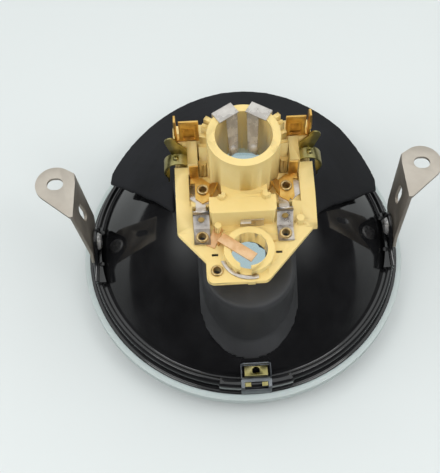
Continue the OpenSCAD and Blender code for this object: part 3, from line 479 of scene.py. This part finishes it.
def cut_out(piece, place, low, high, low_radius, high_radius):
    """Cuts an upright cone, in millimetres, out of the piece."""
    middle = (low + high) / 2
    cone = bmesh.new()
    bmesh.ops.create_cone(cone, cap_ends=True, segments=96, radius1=low_radius * MM,
                          radius2=high_radius * MM, depth=(high - low) * MM,
                          matrix=Matrix.Translation((place[0] * MM, place[1] * MM, middle * MM)))
    mesh = bpy.data.meshes.new("cutter")
    cone.to_mesh(mesh)
    cone.free()
    cutter = put_in_scene("cutter", mesh)
    cut = piece.modifiers.new("cut", "BOOLEAN")
    cut.object = cutter
    cut.operation = "DIFFERENCE"
    cut.solver = "EXACT"
    finished(piece)
    bpy.data.objects.remove(cutter)


# the parking light's opening is oblong and begins at the neck's foot
for centre in (park_offset, neck_radius + park_hole + 0.6):
    cut_out(reflector_shell, (0, -centre), rim_level + 8, neck_level - 14, park_hole, park_hole)
cut_out(reflector_shell, notch_place, rim_level + 8, neck_level - 2.6, notch_radius, notch_radius)
smooth_by_angle(reflector_shell.data, 50)
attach(reflector_shell, "lamp")
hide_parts("reflector")


# The boot is a soft black moulding that covers the neck and the parking light.
# Patches of its rubber are duller than the rest.
boot_rubber = mottled("boot_rubber", (0.03, 0.0305, 0.032), (0.047, 0.048, 0.051), 45.0, (0.42, 0.6),
                      1300.0, 0.00006)


def moulded_piece(node, name, body, material, voxel, passes, added=None):
    """A soft moulding: the CAD solid's copy, remeshed so that its edges turn round."""
    shell = cad_copy(node)
    if added:
        shell.from_mesh(added)
    mesh = bpy.data.meshes.new(name)
    shell.to_mesh(mesh)
    shell.free()
    mesh.materials.clear()
    mesh.materials.append(material)
    piece = put_in_scene(name, mesh)
    remesh = piece.modifiers.new("remesh", "REMESH")
    remesh.mode = "VOXEL"
    remesh.voxel_size = voxel
    remesh.use_smooth_shade = True
    relax = piece.modifiers.new("relax", "SMOOTH")
    relax.factor = 0.5
    relax.iterations = passes
    finished(piece)
    piece.data.materials.clear()
    piece.data.materials.append(material)
    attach(piece, body)
    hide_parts(node)
    return piece


# a lip round the parking light's opening in the thumb's flat top
thumb_level = neck_level - 4
boot_wall = 2
lip_inner = 8.6
lip_outer = 12
lip_offset = 32.5
boot_lip = turned_mesh("boot_lip", [
    (lip_inner, thumb_level - boot_wall), (lip_outer, thumb_level - boot_wall),
    (lip_outer, thumb_level), (lip_inner, thumb_level)], 96, [boot_rubber])
boot_lip.transform(Matrix.Translation((0, -lip_offset * MM, 0)))
moulded_piece("rubber_boot", "moulded_boot", "lamp", boot_rubber, 0.8 * MM, 5,
              boot_lip)


# The drip flap is a thin crescent of the same rubber that keeps rain off the contacts.
# It is blacker than the boot, with less sheen.
flap_rubber = mottled("flap_rubber", (0.0098, 0.0101, 0.0116), (0.0183, 0.0189, 0.0220), 30.0,
                      (0.6, 0.8), 1100.0, 0.00006)
flap_rubber.node_tree.nodes["Principled BSDF"].inputs["Specular IOR Level"].default_value = 0.22
flap = moulded_piece("drip_flap", "moulded_flap", "lamp", flap_rubber, 0.8 * MM, 4)


def ramp(value, start, end):
    """0 at the start, 1 at the end, and held beyond them."""
    return min(max((value - start) / (end - start), 0), 1)


# the photographed flap sits turned on the neck, a little narrower and to the right
flap_inner = 28.6
flap_outer = 68.6
flap_turn = math.radians(-3.2)
flap_narrowing = 0.015
flap_shift = 0.8
# its right lower edge hangs further down, most of all halfway out, and ends further in
ring_sag = 4.4
middle_sag = 6.8
tip_sag = 4.6
tip_pull = 1.7
sag_none = 45
sag_full = 15
for vertex in flap.data.vertices:
    share = ramp(math.hypot(vertex.co.x, vertex.co.y) / MM, flap_inner, flap_outer)
    turn = flap_turn * share
    x = vertex.co.x * math.cos(turn) - vertex.co.y * math.sin(turn)
    y = vertex.co.x * math.sin(turn) + vertex.co.y * math.cos(turn)
    hang = ramp(math.degrees(math.atan2(y, x)), sag_none, sag_full) if x > 0 else 0
    sag = (ring_sag + (middle_sag - ring_sag) * 2 * share if share < 0.5
           else middle_sag + (tip_sag - middle_sag) * (2 * share - 1))
    vertex.co.x = x * (1 - flap_narrowing * share) + (flap_shift - tip_pull * hang) * MM * share
    vertex.co.y = y - sag * hang * MM


# The side brackets are black pressed steel, riveted to the rim's shoulder.
# The lower strap is the same sheet, bent over the rim under the beam adjuster.
for side in ("left", "right"):
    edged_piece("side_bracket_" + side, "lamp", enamel, 0.25 * MM)
edged_piece("lower_bracket", "lamp", enamel, 0.2 * MM)


# One bright steel rivet holds each ear's pivot, closed by a press.
# Two small rivets per bracket are painted over, so they are dark.
rivet_steel = mottled("rivet_steel", (0.6, 0.59, 0.58), (0.88, 0.87, 0.86), 400.0, (0.2, 0.34),
                      2500.0, 0.00003, metallic=0.6)
for node in ("pivot_rivet_left", "pivot_rivet_right"):
    edged_piece(node, "lamp", rivet_steel, 0.15 * MM, 3)


def seats(node):
    """Where each of a CAD node's small parts stands: the middle of its foot."""
    shell = cad_copy(node)
    left = set(shell.verts)
    places = []
    while left:
        part, edge = set(), [left.pop()]
        while edge:
            vertex = edge.pop()
            part.add(vertex)
            for neighbour in (e.other_vert(vertex) for e in vertex.link_edges):
                if neighbour in left:
                    left.discard(neighbour)
                    edge.append(neighbour)
        low = [min(v.co[k] for v in part) for k in range(3)]
        high = [max(v.co[k] for v in part) for k in range(3)]
        places.append(((low[0] + high[0]) / 2, (low[1] + high[1]) / 2, low[2]))
    shell.free()
    return sorted(places)


stud_group, stud_in, stud_out, stud_sockets = node_group(
    "small_parts_on_seats", ("Part", "NodeSocketObject"), ("Size spread", "NodeSocketFloat"),
    ("Seed", "NodeSocketInt"), ("Finish", "NodeSocketMaterial"))
stud_add = node_maker(stud_group)
stud_part = stud_add("GeometryNodeObjectInfo", None, {0: stud_in.outputs["Part"]})
stud_turn = stud_add("FunctionNodeRandomValue", {0: (0, 0, 0), 1: (0, 0, 2 * math.pi)},
                     {"Seed": stud_in.outputs["Seed"]}, data_type="FLOAT_VECTOR")
stud_least = stud_add("ShaderNodeMath", {0: 1.0}, {1: stud_in.outputs["Size spread"]},
                      operation="SUBTRACT")
stud_size = stud_add("FunctionNodeRandomValue", {3: 1.0}, {2: stud_least.outputs[0],
                                                           "Seed": stud_in.outputs["Seed"]})
stud_set = stud_add("GeometryNodeInstanceOnPoints", None, {
    "Points": stud_in.outputs[0], "Instance": stud_part.outputs["Geometry"],
    "Rotation": stud_turn.outputs[0], "Scale": stud_size.outputs[1]})
stud_realized = stud_add("GeometryNodeRealizeInstances", None, {0: stud_set.outputs[0]})
stud_paint = stud_add("GeometryNodeSetMaterial", None, {0: stud_realized.outputs[0],
                                                        2: stud_in.outputs["Finish"]})
stud_group.links.new(stud_paint.outputs[0], stud_out.inputs[0])


def studs(node, outline, finish, seed, spread):
    """One turned part, in millimetres, set on every seat of the CAD node."""
    part = put_in_scene("one_" + node, turned_mesh("one_" + node, outline, 48, [finish]))
    points = bpy.data.meshes.new(node + "_seats")
    points.from_pydata(seats(node), [], [])
    piece = put_in_scene(node + "_set", points)
    grown(piece, stud_group, stud_sockets, {"Part": part, "Size spread": spread, "Seed": seed,
                                            "Finish": finish})
    bpy.data.objects.remove(part)
    smooth_by_angle(piece.data, 40)
    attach(piece, "lamp")
    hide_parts(node)


rivet_head = [(0, 0), (1.2, 0), (1.14, 0.22), (0.95, 0.42), (0.6, 0.55), (0, 0.6)]
painted_steel = mottled("painted_rivet", (0.02, 0.02, 0.021), (0.09, 0.09, 0.09), 900.0, (0.2, 0.35),
                        1500.0, 0.00003, metallic=0.3)
studs("bracket_rivets", rivet_head, painted_steel, 4, 0.05)


# The ears are stamped from nickel-plated strip and swing on their rivets.
# The plating is warm grey, in lighter and darker patches.
ear_steel = mottled("ear_plating", (0.54, 0.48, 0.41), (0.68, 0.62, 0.54), 55.0, (0.36, 0.5),
                    900.0, 0.00003, metallic=0.8)


# the photographed right ear is bent a little inwards and towards the lamp's top
lean_foot = 31.6
lean_top = 55.6
lean_in = 1.8
lean_up = 1.4


def lean_ear(ear):
    for vertex in ear.data.vertices:
        raised = ramp(vertex.co.z / MM, lean_foot, lean_top)
        vertex.co.x -= lean_in * MM * raised
        vertex.co.y += lean_up * MM * raised


edged_piece("ear_left", "ear_l", ear_steel, 0.18 * MM)
edged_piece("ear_right", "ear_r", ear_steel, 0.18 * MM, cut=lean_ear)


# The beam adjuster is a grey spring clip folded over the strap, with its nut in a cage.
# The nut is pressed from thick sheet and passivated yellow.
grey_spring = mottled("grey_spring_steel", (0.16, 0.175, 0.19), (0.3, 0.32, 0.34), 160.0, (0.35, 0.5),
                      1600.0, 0.00003, metallic=0.9)
edged_piece("adjuster_clip", "lamp", grey_spring, 0.1 * MM)
yellow_zinc = mottled("yellow_zinc", (0.34, 0.3, 0.1), (0.6, 0.53, 0.26), 130.0, (0.25, 0.4),
                      1800.0, 0.00003, metallic=1.0)
edged_piece("adjuster_nut", "lamp", yellow_zinc, 0.15 * MM)


# The bulb holder is one moulding in cream plastic that clips into the reflector's neck.
# Its colour is a little uneven with age.
cream_plastic = mottled("cream_plastic", (0.8, 0.59, 0.21), (0.88, 0.69, 0.3), 35.0, (0.34, 0.46),
                        900.0, 0.00004, spread=(0.25, 0.7))
cream_shader = cream_plastic.node_tree.nodes["Principled BSDF"]
cream_shader.inputs["Subsurface Weight"].default_value = 0.08
cream_shader.inputs["Subsurface Radius"].default_value = (0.003, 0.002, 0.001)


bulb_bore = 10.85
flare_radius = 21
flare_low = neck_level - 8.2
flare_high = neck_level + 10
tube_low = neck_level - 9
tube_high = neck_level + 3.5
notch_high = neck_level + 1
slot_places = ((-13, -34.5), (11.4, -34.5))
slot_hollow = 1.9
hollow_low = neck_level + 5
hollow_high = neck_level + 6.9


def open_holder(holder):
    # the light's way under both bulbs flares open, as the view through the sockets shows
    cut_out(holder, (0, 0), flare_low, flare_high, flare_radius, bulb_bore)
    cut_out(holder, (0, -park_offset), tube_low, tube_high, park_hole, park_hole)
    cut_out(holder, notch_place, tube_low, notch_high, notch_radius, notch_radius)
    # the plate is thin round the two slots beside the parking ring, so they look dark
    for place in slot_places:
        cut_out(holder, place, hollow_low, hollow_high, slot_hollow, slot_hollow)


edged_piece("bulb_holder", "lamp", cream_plastic, 0.3 * MM, 3, cut=open_holder)


# The two main contacts are plated spring leaves bent over the collar's rim.
# Link strips, the earth strip and the small spring are the same plated sheet.
nickel = mottled("nickel_plating", (0.54, 0.48, 0.43), (0.82, 0.76, 0.7), 220.0, (0.24, 0.4),
                 1500.0, 0.00003, metallic=0.9)
for node in ("link_strip_left", "link_strip_right", "earth_strip", "parking_spring"):
    edged_piece(node, "lamp", nickel, 0.12 * MM)
silver_leaf = mottled("silver_leaf", (0.42, 0.39, 0.36), (0.66, 0.63, 0.59), 190.0, (0.2, 0.36),
                      1500.0, 0.00003, metallic=0.3)
for node in ("main_contact_left", "main_contact_right"):
    edged_piece(node, "lamp", silver_leaf, 0.12 * MM)


# Terminals, contact plates and eyelets are brass, stamped and folded.
# They are stained in darker and lighter patches.
brass = mottled("brass", (0.7, 0.39, 0.08), (0.97, 0.64, 0.2), 180.0, (0.3, 0.44),
                1500.0, 0.00003, metallic=0.9)
for node in ("terminal_left", "terminal_right", "brass_contact_left", "brass_contact_right"):
    edged_piece(node, "lamp", brass, 0.12 * MM)
eyelet_brass = mottled("eyelet_brass", (0.62, 0.42, 0.16), (0.84, 0.66, 0.36), 300.0, (0.26, 0.4),
                       1500.0, 0.00003, metallic=0.9)
eyelet_ring = [(1.3, -2.6), (1.62, -2.6), (1.62, 0), (2.4, 0), (2.4, 0.35), (2.26, 0.62), (2.0, 0.78),
               (1.72, 0.78), (1.45, 0.6), (1.3, 0.2)]
studs("contact_eyelets", eyelet_ring, eyelet_brass, 7, 0.0)


# The holder's spring clips are passivated steel, tinted olive and yellow.
# Each has a finger tab outside and a hook.
for node in ("holder_clip_left", "holder_clip_right"):
    edged_piece(node, "lamp", yellow_zinc, 0.12 * MM)


# The parking light's contact is a copper blade over its socket, with a small tab beside it.
# Both are bare copper strip.
copper = mottled("bare_copper", (0.76, 0.43, 0.2), (0.92, 0.62, 0.36), 250.0, (0.34, 0.48),
                 1800.0, 0.00003, metallic=0.75)
for node in ("parking_contact", "parking_clamp"):
    edged_piece(node, "lamp", copper, 0.1 * MM)
